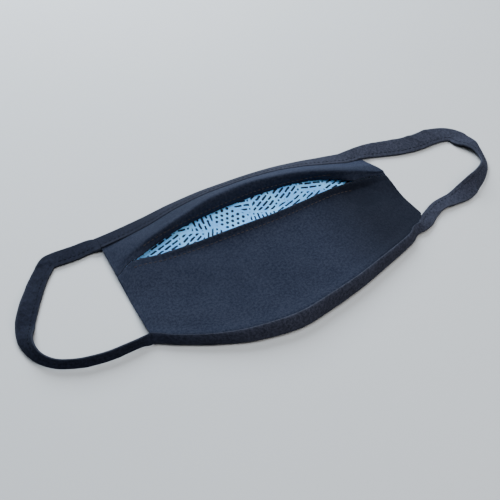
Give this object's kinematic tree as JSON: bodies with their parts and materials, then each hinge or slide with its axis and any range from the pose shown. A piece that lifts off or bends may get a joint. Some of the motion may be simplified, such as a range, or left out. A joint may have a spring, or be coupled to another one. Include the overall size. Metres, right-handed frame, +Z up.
{
  "type": "cloth face mask",
  "caption": "Cloth face mask lying inside up: printed outer panel, dark split lining with a filter slit, taped edges and two flat ear loops.",
  "frame": {"origin": "middle of the outer panel's flat belly, on the surface that the mask lies on", "axes": "+X along the mask from the left loop to the right loop, +Y to the nose edge, +Z up and out of the mask's inside"},
  "size_m": [0.3624, 0.1367, 0.0175],
  "materials": {
    "printed_cloth": "pale blue cotton with a dark dash and dot print",
    "lining_cloth": "matt dark navy fine knit",
    "folded_tape": "matt dark navy folded tape with one row of stitches"
  },
  "bodies": {
    "root": {"outer_panel": "printed_cloth", "lining_upper": "lining_cloth", "lining_lower": "lining_cloth", "binding_top": "folded_tape", "binding_chin": "folded_tape", "ear_loop_left": "folded_tape", "ear_loop_right": "folded_tape"}
  },
  "joints": []
}
